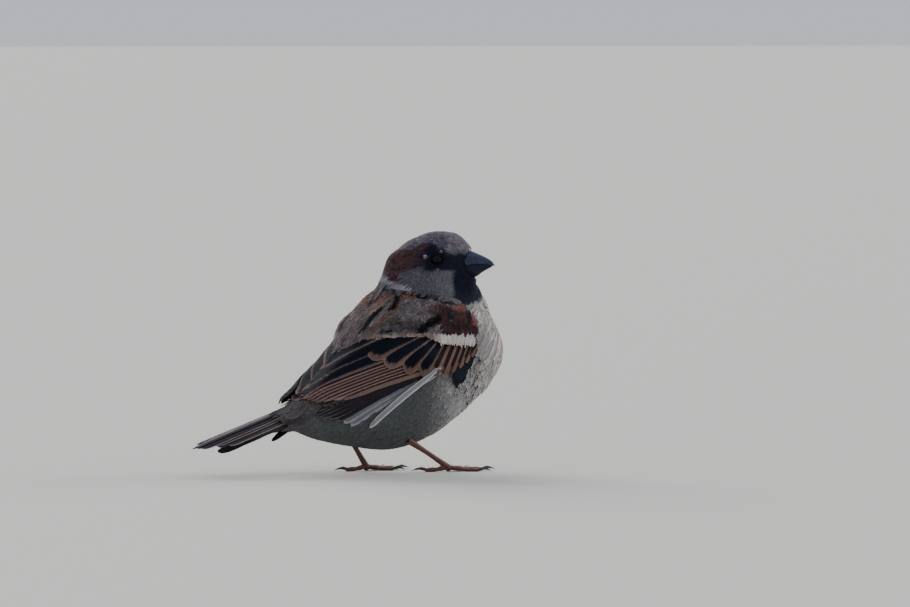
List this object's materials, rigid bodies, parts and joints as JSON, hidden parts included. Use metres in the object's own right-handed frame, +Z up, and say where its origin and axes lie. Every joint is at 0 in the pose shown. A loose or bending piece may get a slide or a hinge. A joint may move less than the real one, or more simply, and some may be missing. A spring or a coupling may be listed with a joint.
{
  "type": "house sparrow",
  "caption": "Life-size still model of a male house sparrow standing with folded wings, its head turned over its right shoulder.",
  "frame": {"origin": "on the floor under the middle of the bird's bounding box", "axes": "+X the way the trunk faces, +Y the bird's left, +Z up"},
  "size_m": [0.1282, 0.0528, 0.0913],
  "materials": {
    "grey_feather": "soft matt plumage",
    "pale_feather": "soft matt plumage",
    "rump_feather": "soft matt plumage",
    "chestnut_feather": "matt vanes",
    "streaked_feather": "matt vanes",
    "dark_feather": "matt vanes",
    "tail_feather": "matt vanes",
    "white_feather": "matt vanes",
    "bill_horn": "satin horn",
    "dark_eye": "wet gloss",
    "leg_scale": "dry scaled skin",
    "claw_horn": "satin horn"
  },
  "bodies": {
    "root": {"head": "grey_feather", "neck": "pale_feather", "trunk": "pale_feather", "rump": "rump_feather", "bill_upper": "bill_horn", "bill_lower": "bill_horn", "eye_left": "dark_eye", "eye_right": "dark_eye", "scapulars_left": "streaked_feather", "scapulars_right": "streaked_feather", "coverts_left": "chestnut_feather", "coverts_right": "chestnut_feather", "inner_flight_left": "streaked_feather", "inner_flight_right": "streaked_feather", "primaries_left": "dark_feather", "primaries_right": "dark_feather", "stray_primary_right": "white_feather", "tail_left": "tail_feather", "tail_right": "tail_feather", "undertail_feather": "dark_feather", "shank_left": "leg_scale", "shank_right": "leg_scale", "foot_left": "leg_scale", "foot_right": "leg_scale", "claw_inner_left": "claw_horn", "claw_inner_right": "claw_horn", "claw_middle_left": "claw_horn", "claw_middle_right": "claw_horn", "claw_outer_left": "claw_horn", "claw_outer_right": "claw_horn", "claw_hind_left": "claw_horn", "claw_hind_right": "claw_horn"}
  },
  "joints": []
}
